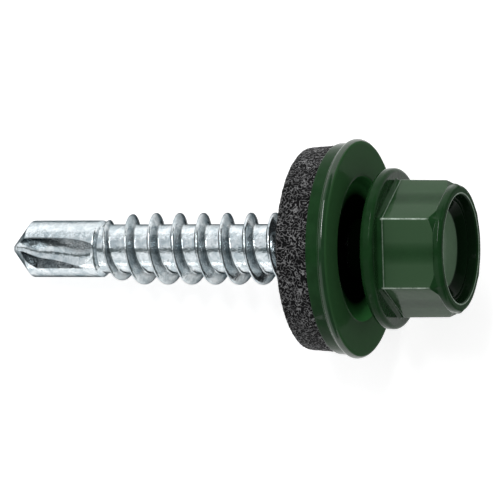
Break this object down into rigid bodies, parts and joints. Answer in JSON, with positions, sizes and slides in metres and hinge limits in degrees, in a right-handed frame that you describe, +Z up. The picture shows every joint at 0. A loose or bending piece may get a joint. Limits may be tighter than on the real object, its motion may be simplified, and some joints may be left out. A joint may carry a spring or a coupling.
{
  "type": "self drilling screw",
  "caption": "Self drilling hexagon flange screw with a right-hand sheet-metal thread, fluted drill point and a captive painted sealing washer with a rubber ring.",
  "frame": {"origin": "on the surface that the screw lies on, below the middle of its bounding box", "axes": "+Z up, +X along the screw's length towards the head, which is raised by 14.1 degrees; the screw lies on the edge of its rubber ring and on the two edges of its lower flute"},
  "size_m": [0.0316, 0.0144, 0.0142],
  "materials": {
    "zinc_plated_steel": "bright zinc plate",
    "green_paint": "gloss moss green lacquer",
    "black_rubber": "grained charcoal rubber"
  },
  "bodies": {
    "screw_body": {"screw": "zinc_plated_steel"},
    "sealing_washer": {"metal_washer": "green_paint", "epdm_seal": "black_rubber"}
  },
  "joints": [
    {"name": "washer_slide", "type": "slide", "parent": "screw_body", "child": "sealing_washer", "axis": [0.9697, 0, 0.2443], "range_m": [0, 0.0015]}
  ]
}
